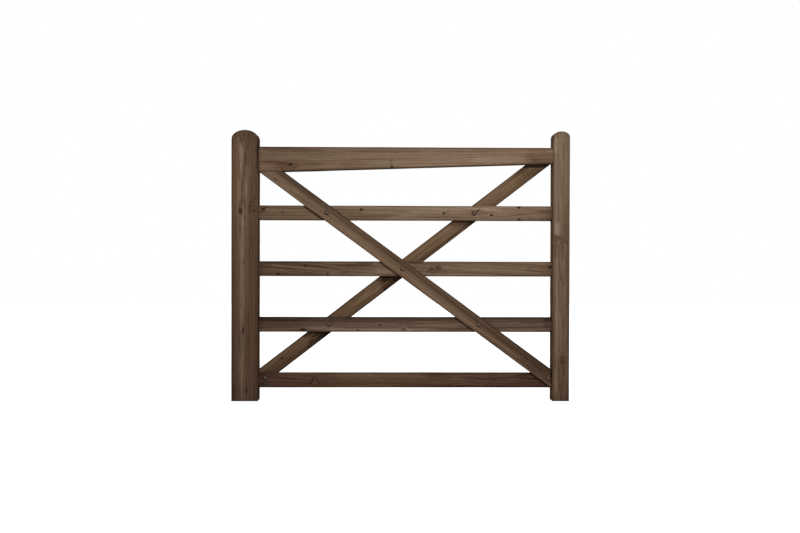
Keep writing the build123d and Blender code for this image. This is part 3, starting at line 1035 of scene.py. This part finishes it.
topRail = {
    "node": "top_rail", "slot": "top_rail_timber", "top": 1.126, "arris": 4 * mm, "slope": 0.0,
    "cells": (130, 16, 9), "tenonCells": 8, "shoulderCells": 4, "roundCells": 3, "uneven": 0.4 * mm,
    "shoulderRound": 0.8 * mm, "tenonThickness": 25 * mm, "tenonShoulder": 12 * mm,
    "knots": [
        (-488, 1050, 5.5, 1, 0.9, 1), (-41, 1039, 5, 1, 1, 1), (250, 1090, -9, 1.5, 0.6, 1),
        (-360, 1060, -6, 1.3, 0.8, 0.8),
    ],
    "checks": [
        {"face": -1, "across": 12, "start": -350, "end": 200, "gape": 0.5, "depth": 4, "waver": 3},
    ],
    "streaks": [
        (-60, 1108, 190, 7, -0.15), (340, 1106, 220, 5, -0.09), (-395, 1048, 50, 10, -0.09),
        (-330, 1070, 110, 5, 0.10), (440, 1072, 145, 19, 0.10),
    ],
    "curls": [
        (-492, 1112, 160, 7, 0, -0.2, 0.3), (-505, 1041, 70, 19, 0, -0.15, 0.4),
        (-560, 1056, 60, 7, 0, -0.12, 0.3), (-218, 1050, 70, 15, 2, -0.06, 0.35),
        (-495, 1045, 8, 4, 20, -0.25, 0), (-45, 1062, 18, 6, 80, -0.11, 0),
        (620, 1085, 76, 54, 0, -0.1, 0.1), (593, 1072, 16, 6, 0, -0.1, 0.3),
    ],
    "tone": 0.70, "seed": 79, "red": 0.10, "tint": (1.00, 1.00, 1.00), "edges": (0.4, 1.2),
    "pith": (-95, -80), "lean": (5, 4), "ringWidth": 5, "wander": 8, "slant": 0.015,
    "ringDepth": 0.12, "streakDepth": 0.46,
    "shades": [(-660, 280, -0.16), (-634, -620, -0.34), (676, 668, -0.06)],
    "bands": [(53, 11, 2, 2, 0, 2, -0.12, 0.6)],
}


def makeTopRail(rail):
    # rows step from tenon to shoulder to tapered body and back; the underside rises toward the toe
    low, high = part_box(rail["node"])
    heel, toe, top, easing = hangingInner, closingInner, rail["top"], rail["shoulderRound"]
    centre = (heelUnder + top) / 2
    length, thickness = sizeOf(rail["node"])[:2]
    rail.update(origin=(*middleOf(rail["node"])[:2], centre), width=top - heelUnder,
                thickness=thickness, length=length)
    cells = rail["tenonCells"]
    ring = np.linspace(0, 1, rail["shoulderCells"] + 1)[1:]
    turn = np.linspace(0, quarter, rail["roundCells"] + 1)[1:-1]
    run = np.linspace(heel + easing, toe - easing, rail["cells"][0] + 1)

    def tenon(end, shoulder):
        # from the tenon's end in to the shoulder, and out over the shoulder to the full section
        stations = [0 * ring + end, np.linspace(end, shoulder, cells + 1)[1:], 0 * ring + shoulder]
        grown = [np.zeros(len(ring) + cells), ring]
        shrink = [ring, np.ones(cells + len(ring))]
        return [np.concatenate(parts) for parts in (stations, grown, shrink)]

    heelEnd, heelGrown, heelShrink = tenon(low.x, heel)
    toeEnd, toeGrown, toeShrink = (part[::-1] for part in tenon(high.x, toe))
    inward, rounded = easing * (1 - np.cos(turn)), easing * (1 - np.sin(turn))
    body = np.ones(len(run) + 2 * len(turn))
    stations, inset, grown, shrink = (np.concatenate(parts)[:, None] for parts in (
        [heelEnd, heel + inward, run, toe - inward[::-1], toeEnd],
        [easing * heelGrown, rounded, 0 * run, rounded[::-1], easing * toeGrown],
        [heelGrown, body, toeGrown],
        [heelShrink, body, toeShrink]))
    under = heelUnder + topTaper * (np.clip(stations, heel, toe) - heel)
    shoulder = rail["tenonShoulder"] * (1 - grown)
    lower, upper = under + shoulder - centre, top - shoulder - centre
    halfDeep = (rail["tenonThickness"] * (1 - grown) + thickness * grown) / 2
    rows = {"share": (stations - low.x) / length, "inset": inset, "shrink": shrink}
    timberPiece(rail, rows, lambda across: stations, (lower + upper) / 2, (upper - lower) / 2, halfDeep)


makeTopRail(topRail)
print("top rail made")

# The two braces, crossed on either side of the rails

frontBrace = {
    "node": "front_brace", "headX": hangingInner + 3 * mm, "footX": closingInner,
    "knots": [
        (-555, 980, 4, 1.6, 0.4, 0.7), (300, 400, -6, 1.6, 0.5, 0.9), (-200, 730, -7, 1.4, 0.7, 1),
    ],
    "streaks": [
        (-461, 930, 30, 4, 0.08), (-190, 704, 140, 6, -0.08), (-178, 718, 140, 5, 0.06),
        (133, 471, 140, 6, 0.06), (450, 256, 100, 8, -0.06), (455, 246, 95, 7, 0.08),
        (-390, 852, 50, 9, 0.05), (606, 130, 110, 18, -0.11),
    ],
    "curls": [
        # the curl at x 671 is painted shade where the brace's foot meets the closing stile
        (-541, 977, 27, 7, 0, -0.02, 0.6), (290, 380, 40, 5, 0, 0, 0.5), (671, 95, 50, 6, 126, -0.18, 0),
    ],
    "tone": 0.58, "seed": 83, "red": 0.28, "tint": (1.00, 1.00, 0.99), "edges": (1.3, 1),
    "pith": (-22, -34), "lean": (-7, 8), "ringWidth": 4.6, "wander": 10, "slant": 0,
    "ringDepth": 0.13, "streakDepth": 0.42, "shades": [(820, 150, -0.12)],
    "bands": [(31, 54, 10, 3, -5, 4, -0.21, -0.4)],
}
rearBrace = {
    "node": "rear_brace", "headX": closingInner - 3 * mm, "footX": hangingInner,
    "knots": [
        (-531, 186, 4, 1.6, 0.4, 0.7), (210, 710, -5, 1.6, 0.5, 0.8), (-300, 370, -7, 1.3, 0.6, 1),
    ],
    "streaks": [
        (117, 653, 80, 5, -0.10), (110, 664, 110, 20, -0.05), (-460, 214, 100, 18, -0.09),
        (425, 880, 90, 4, 0.08), (466, 928, 90, 3, 0.07), (240, 736, 70, 7, 0.07),
        # painted shadow on the brace just below the lower rail
        (-361, 277, 70, 24, -0.2),
    ],
    "curls": [
        (229, 730, 40, 3, 0, -0.13, 0.5), (-173, 434, 54, 3, 0, -0.11, 0.5),
        # painted shadows: the strips turned 36 degrees lie just under each rail and under the top rail,
        # where their shadows fall on the brace
        (265, 794, 75, 14, -36, -0.13, 0), (262, 790, 75, 22, -36, -0.07, 0),
        (-63, 543, 75, 13, -36, -0.15, 0), (-66, 539, 75, 20, -36, -0.05, 0),
        (-389, 296, 75, 16, -36, -0.16, 0), (-394, 290, 75, 22, -36, -0.05, 0),
        (600, 1030, 110, 30, -36, -0.08, 0), (590, 1015, 110, 50, -36, -0.06, 0),
        # painted shadow in the corner under the middle rail
        (-54, 522, 44, 40, 0, -0.2, 0),
    ],
    "tone": 0.53, "seed": 97, "red": 0.00, "tint": (1.03, 0.99, 0.89), "edges": (1, 1),
    "pith": (10, -40), "lean": (5, 9), "ringWidth": 4.6, "wander": 11, "slant": 0.01,
    "ringDepth": 0.13, "streakDepth": 0.36, "shades": [(-820, 450, -0.08), (820, 300, 0.08)],
    "bands": [(-36, 32, 4, 11, 0, 4, -0.13, 0.1)],
}
braceSeat = {"footDrop": 2 * mm, "housing": 12 * mm, "fit": 0.25 * mm}


def braceEnds(brace, across, fit, past=0.0):
    # where a line of the board meets the planes that cut it off: stiles, rail's underside, housing's roof
    cosine, sine = math.cos(brace["slope"]), math.sin(brace["slope"])
    x, z = brace["origin"][0] - across * sine, brace["origin"][2] + across * cosine
    roof = heelUnder + braceSeat["housing"] - fit + topTaper * (x - hangingInner)
    atRoof = (roof - z) / (sine - topTaper * cosine)
    atFloor = (railUnder - z) / sine
    atHanging, atClosing = (hangingInner - past - x) / cosine, (closingInner + past - x) / cosine
    atLeft, atRight = (atRoof, atFloor) if sine < 0 else (atFloor, atRoof)
    return np.maximum(atHanging, atLeft), np.minimum(atClosing, atRight)


def makeBrace(brace):
    # its lower edge runs from the underside of the top rail to the far stile, just under the bottom rail
    head = (brace["headX"], heelUnder + topTaper * (brace["headX"] - hangingInner))
    foot = (brace["footX"], railUnder - braceSeat["footDrop"])
    left, right = np.array(sorted((head, foot)))
    run = right - left
    slope = math.atan2(run[1], run[0])
    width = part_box("bottom_rail")[1].z - railUnder
    x, z = (left + right) / 2 + np.array((-math.sin(slope), math.cos(slope))) * width / 2
    brace.update(boardStock, slot="brace_timber", origin=(x, middleOf(brace["node"])[1], z), slope=slope,
                 width=width, length=float(np.hypot(*run)))
    boardPiece(brace, boardRows(brace, 5), lambda across: braceEnds(brace, across, braceSeat["fit"]))


def housingShell(brace, gap):
    # the board again, plain and larger by the gap all round, to cut its housing with
    across, through = roundedSection(
        brace["width"] / 2 + gap, brace["thickness"] / 2 + gap, brace["arris"] + gap)
    along = np.stack(braceEnds(brace, across, 0.0, gap))  # past the shoulders too, for a clean cut
    grid = toGate(brace, along, *(np.stack([part, part]) for part in (across, through)))
    return gridShell(grid, grid.mean(axis=1))


makeBrace(frontBrace)
makeBrace(rearBrace)
print("braces made")

# Mortises, housings and holes, each a little larger than what it holds

joint = {
    "gap": 0.3 * mm,
    "pegGap": 0.15 * mm,
    "boltHole": 9 * mm,
    "neck": 8.4 * mm,
    "neckDepth": 5.2 * mm,
    "neckRound": 0.4 * mm,
    "over": 8 * mm,  # how far a cutter stands out
}
pegNodes = [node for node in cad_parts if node.endswith("_peg") or "_peg_" in node]
railNodes = ("bottom_rail", "lower_rail", "middle_rail", "upper_rail")


def mortiseFor(stile, low, high, rounding):
    # right through the stile, along X
    stileLow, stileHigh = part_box(stile)
    gap = joint["gap"]
    start = (stileLow.x - joint["over"], low[1] - gap, low[2] - gap)
    end = (stileHigh.x + joint["over"], high[1] + gap, high[2] + gap)
    return barShell(start, end, rounding + gap)


def tenonBox(stile):
    # the top rail's tenon at this stile: its lowest and highest corners
    under = heelUnder if stile == "hanging_stile" else toeUnder
    half, shoulder = topRail["tenonThickness"] / 2, topRail["tenonShoulder"]
    return (0.0, -half, under + shoulder), (0.0, half, topRail["top"] - shoulder)


def pegHoles(word):
    # bores for the pegs whose names hold this word
    bores = []
    for node in pegNodes:
        if word in node:
            low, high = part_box(node)
            radius = sizeOf(node)[0] / 2 + joint["pegGap"]
            bores.append(rodShell(*axisOf(node), low.y - mm, high.y + joint["over"], radius))
    return bores


def boltHoles(node):
    # bores for the bolts, and the square sockets for their necks under the heads
    low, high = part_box(node)
    front, back, half = low.y - joint["over"], high.y + joint["over"], joint["neck"] / 2
    bores, sockets = [], []
    for name, layers in clampedBoards.items():
        x, z = axisOf(name + "_bolt")
        if node in layers:
            bores.append(rodShell(x, z, front, back, joint["boltHole"] / 2))
        if node == layers[0]:
            start, end = (x - half, front, z - half), (x + half, low.y + joint["neckDepth"], z + half)
            sockets.append(barShell(start, end, joint["neckRound"]))
    return bores, sockets


for stile in ("hanging_stile", "closing_stile"):
    mortises = [mortiseFor(stile, *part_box(node), boardStock["arris"]) for node in railNodes]
    mortises.append(mortiseFor(stile, *tenonBox(stile), topRail["arris"]))
    cutAway(pieces[stile], [mortises, pegHoles(stile.split("_")[0])])
for node in railNodes:
    bores, sockets = boltHoles(node)
    cutAway(pieces[node], [bores + pegHoles(node), sockets])
for node in ("front_brace", "rear_brace"):
    cutAway(pieces[node], boltHoles(node))
housings = [housingShell(brace, joint["gap"]) for brace in (frontBrace, rearBrace)]
cutAway(pieces["top_rail"], [housings, pegHoles("_top_peg")])
for piece in pieces.values():
    smooth(piece.data, timberSharp)
print("joints cut")

# Finishes of the fasteners, which follow each one's own axis

# the dark colour of the heads is painted shade, and the pale metal also serves for a painted highlight
steelLook = {"brown": linear(73, 57, 46), "dirt": linear(42, 32, 26), "bare": linear(134, 125, 116),
             "crownRise": 2 * mm, "seed": 1.3}
zincLook = {"dark": linear(88, 86, 81), "pale": linear(126, 123, 117), "rust": linear(104, 74, 52),
            "seed": 4.1}
oakLook = {"pale": linear(128, 101, 70), "dark": linear(58, 42, 29), "pithX": -21 * mm,
           "ringWidth": 2.3 * mm, "seed": 7.7}


def ownFinish(name, seed):
    # a new material and its shader, the piece's own coordinates, and its patches
    material, tree, surface = newMaterial(name)
    own = addNode(tree, "Attribute", attribute_name="own").outputs["Vector"]
    return material, surface, own, place(tree, mottleGroup, {"Vector": own, "Seed": seed})


def fromLine(own, x=0.0, z=0.0):
    # how far a point lies from the piece's axis, or from a line beside it
    return lengthOf(vectorTimes(vectorMinus(own, (x, 0.0, z)), (1.0, 0.0, 1.0)))


def makeStainedSteel(look):
    # the brown stain went over the heads too; painted shade darkens them low on the left and round the rim,
    # and a painted highlight of pale metal sits a little above the middle
    material, surface, own, patches = ownFinish("stainedSteel", look["seed"])
    x, y, z = split(own)
    fromAxis = fromLine(own)
    # painted highlight: a small pale metal spot above the middle of the dome; the bare metal from 2 mm
    # behind the head is real
    fromHighlight = timesPlus(patches["Cloud"], 1.2 * mm, fromLine(own, z=look["crownRise"]))
    crown = times(fade(fromHighlight, 1.1 * mm, 2.5 * mm), ease(y, 0.0, -1 * mm))
    bare = larger(crown, ease(y, 2 * mm, 10 * mm, 0.0, 0.7))
    # painted shade: darker low on the left of the head and round its rim
    downLeft = timesPlus(x, -0.6, times(z, -0.8))
    dirt = times(ease(downLeft, 0.0, 6 * mm), ease(fromAxis, 3 * mm, 8 * mm))
    dirt = larger(dirt, ease(fromAxis, 8.2 * mm, 10 * mm, 0.0, 0.6))
    brown = blend(dirt, look["brown"], look["dirt"])
    paint(surface, {
        "Base Color": blend(bare, brown, look["bare"]), "Metallic": times(bare, 0.4),
        "Roughness": timesPlus(patches["Cloud"], 0.16, 0.46), "Specular IOR Level": 0.12})
    roughen(surface, patches["Grain"], 0.08 * mm)
    return material


def makeDullZinc(look):
    # weathered plating: cloudy grey, with brown in the hollows round the thread
    material, surface, own, patches = ownFinish("dullZinc", look["seed"])
    grey = blend(patches["Cloud"], look["dark"], look["pale"])
    rust = times(ease(fromLine(own), 3.5 * mm, 9 * mm, 0.75, 0.1), patches["Cloud"])
    paint(surface, {
        "Base Color": blend(rust, grey, look["rust"]), "Metallic": timesPlus(rust, -0.7, 0.95),
        "Roughness": timesPlus(patches["Cloud"], 0.2, 0.38)})
    roughen(surface, patches["Grain"], 0.06 * mm)
    return material


def makeOak(look):
    # end grain at the back: rings round a pith outside the peg, crossed by rays, dark at the rim
    material, surface, own, patches = ownFinish("oak", look["seed"])
    year = calc("FRACT", divide(fromLine(own, look["pithX"]), look["ringWidth"]))
    pores = fade(year, 0.0, 0.35)
    fibre = noise(own, (1300, 40, 1300), 2.2, 3.0)
    ray = noise(own, (60, 30, 2600), 5.2)
    rim = ease(fromLine(own), 4 * mm, 6 * mm, 0.15, 0.6)
    dark = timesPlus(ray, 0.5, total(rim, (pores, 0.35), (fibre, 0.8)), clamp=True)
    paint(surface, {
        "Base Color": blend(dark, look["pale"], look["dark"]),
        "Roughness": timesPlus(patches["Cloud"], 0.15, 0.6), "Specular IOR Level": 0.25})
    roughen(surface, minus(fibre, pores), 0.15 * mm)
    return material


# Fasteners, each worked out round its own line; y is counted back from its front

boltShape = {
    "headRadius": 10 * mm, "rise": 4.6 * mm, "rim": 0.8 * mm, "radius": 4 * mm, "neck": 5 * mm,
    "neckFade": 1.6 * mm, "threadLength": 22 * mm, "pitch": 1.25 * mm, "threadDepth": 0.7 * mm,
    "chamfer": 1 * mm, "columns": 48, "headRows": 12, "plainRows": 6, "threadRows": 139,
}
nutShape = {
    "apothem": 6.5 * mm, "bevel": 0.8 * mm, "underBevel": 0.4, "bore": 4.06 * mm, "mouth": 0.5 * mm,
    "turnStep": 17.0, "columns": 72,
}
washerShape = {"bore": 4.5 * mm, "edge": 0.4 * mm, "boreEdge": 0.1 * mm, "columns": 64}
pegShape = {
    "point": 2.2 * mm, "crown": 0.7 * mm, "facets": 0.035, "oval": 0.012, "ragged": 0.12 * mm,
    "stemRows": 14, "columns": 48, "firstSeed": 200,
}


def turnedPiece(node, material, slot, y, radius, turn, seat=0.0, solid=True):
    # the points keep their own coordinates in an attribute, for a finish that follows the axis
    low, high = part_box(node)
    x, z = axisOf(node)
    poles = [(x, low.y, z), (x, high.y, z)] if solid else None
    points, faceSets = gridShell(roundGrid(x, z, low.y + y, radius, turn), poles)
    mesh = makeMesh(node, (points, faceSets))
    own = mesh.attributes.new("own", "FLOAT_VECTOR", "POINT")
    own.data.foreach_set("vector", (points - (x, low.y + seat, z)).astype(np.float32).ravel())
    smooth(mesh, fastenerSharp)
    addPiece(camel(node), mesh, material, slot, node)


def makeBolt(node, material):
    # head: an arc turned; neck: a square whose corners are a high power mean; thread: a helical cosine
    shape, turn = boltShape, fullTurn(boltShape["columns"])
    rise, rim, wide, shank = (shape[label] for label in ("rise", "rim", "headRadius", "radius"))
    length = sizeOf(node)[1] - rise
    swell = rise - rim
    arcRadius = (wide ** 2 + swell ** 2) / (2 * swell)
    arc = np.linspace(0, 1, shape["headRows"] + 1)[1:] * math.asin(wide / arcRadius)
    headY = np.concatenate([arcRadius * (1 - np.cos(arc)) - rise, rim * np.array([-0.45, -0.1, 0.0])])
    headR = np.concatenate([arcRadius * np.sin(arc), wide * np.array([1.0, 0.985, 0.95])])
    neckY = np.array([0.0, 0.6, 1.0]) * (shape["neck"] - shape["neckFade"])
    threadStart = length - shape["threadLength"]
    plainY = np.linspace(shape["neck"], threadStart, shape["plainRows"])
    threadY = np.linspace(threadStart, length, shape["threadRows"] + 1)[1:, None]
    square = (np.abs(np.sin(turn)) ** 10 + np.abs(np.cos(turn)) ** 10) ** -0.1
    helix = 0.5 - 0.5 * np.cos(2 * math.pi * threadY / shape["pitch"] - turn)
    runIn = np.clip((threadY - threadY[0]) / (3 * shape["pitch"]), 0, 1)
    taper = shank - np.clip(threadY - (length - shape["chamfer"]), 0, None)
    radius = np.concatenate([
        headR[:, None] + 0 * turn,
        shank * square + 0 * neckY[:, None],
        shank + 0 * plainY[:, None] + 0 * turn,
        np.minimum(shank - shape["threadDepth"] * helix * runIn, taper)])
    y = rise + np.concatenate([headY, neckY, plainY, threadY[:, 0]])[:, None]
    turnedPiece(node, material, "bolt_steel", y, radius, turn, seat=rise)


def makeNut(node, material, turned):
    # a hexagon's radius is its apothem over the cosine from the middle of a side; a cone trims its corners
    shape, turn = nutShape, fullTurn(nutShape["columns"])
    apothem, bevel, mouth = (shape[label] for label in ("apothem", "bevel", "mouth"))
    tall = sizeOf(node)[1]
    underBevel = shape["underBevel"] * bevel
    hexagon = apothem / np.cos(turn % (math.pi / 3) - math.pi / 6)
    outerY = np.concatenate([
        np.linspace(0, underBevel, 4), np.linspace(0.2, 0.8, 4) * tall,
        tall - np.linspace(1, 0, 9) * bevel])
    fromEnd = np.minimum((tall - outerY) / bevel, outerY / underBevel)
    corner = apothem / math.cos(math.pi / 6)
    cone = apothem + (corner - apothem) * np.clip(fromEnd, 0, 1)
    inner = shape["bore"] + np.array([1.0, 0.0, 0.0, 1.0]) * mouth
    flat = (apothem + inner[0]) / 2
    radius = np.concatenate([
        np.minimum(hexagon, cone[:, None]), np.array([flat, *inner, flat])[:, None] + 0 * turn])
    y = np.concatenate([outerY, [tall, tall, tall - mouth, mouth, 0.0, 0.0]])[:, None]
    turn = turn + quarter - math.radians(turned)
    turnedPiece(node, material, "nut_steel", y, radius, turn, solid=False)


def makeWasher(node, material):
    # a flat ring with softened edges: its section goes once round a rounded rectangle
    bore, edge, boreEdge = (washerShape[label] for label in ("bore", "edge", "boreEdge"))
    width, tall = sizeOf(node)[:2]
    outer, arc = width / 2, np.linspace(0, quarter, 5)
    inward, rise = edge * (1 - np.sin(arc)), edge * (1 - np.cos(arc))
    flat = np.linspace(outer, bore, 6)[1:-1]
    radius = np.concatenate([outer - inward, outer - inward[::-1], flat, [bore, bore], flat[::-1]])
    y = np.concatenate([rise, tall - rise[::-1], 0 * flat + tall, [tall - boreEdge, boreEdge], 0 * flat])
    turn = fullTurn(washerShape["columns"])
    turnedPiece(node, material, "nut_steel", y[:, None], radius[:, None], turn, solid=False)


def makePeg(node, material, seed):
    # a cleft rod: round with eight faint flats, pointed in front and crowned by the mallet at the back
    width, tall = sizeOf(node)[:2]
    shape, turn, crown = pegShape, fullTurn(pegShape["columns"]), pegShape["crown"]
    draw = np.random.default_rng(seed)
    flats = 1 - shape["facets"] * np.abs(np.sin(4 * turn + draw.uniform(0, 3)))
    flats = flats - shape["oval"] * np.cos(2 * turn + draw.uniform(0, 6))
    ragged = np.minimum(shape["ragged"] * np.cos(3 * turn + draw.uniform(0, 6)), 0)
    stem = np.linspace(shape["point"], tall - crown, shape["stemRows"])
    y = np.concatenate([[0.0], stem, tall - crown * np.array([0.55, 0.25, 0.08, 0.0])])[:, None]
    grown = np.concatenate([[0.66], 0 * stem + 1, [0.985, 0.95, 0.88, 0.55]])[:, None]
    y = y + ragged * (y > stem[-1])
    turnedPiece(node, material, "peg_oak", y, width / 2 * flats * grown, turn)


stainedSteel, dullZinc, oak = makeStainedSteel(steelLook), makeDullZinc(zincLook), makeOak(oakLook)
for i, name in enumerate(clampedBoards):
    makeBolt(name + "_bolt", stainedSteel)
    makeWasher(name + "_washer", dullZinc)
    makeNut(name + "_nut", dullZinc, i * nutShape["turnStep"])
for i, node in enumerate(pegNodes):
    makePeg(node, oak, pegShape["firstSeed"] + i)
print("fasteners made")
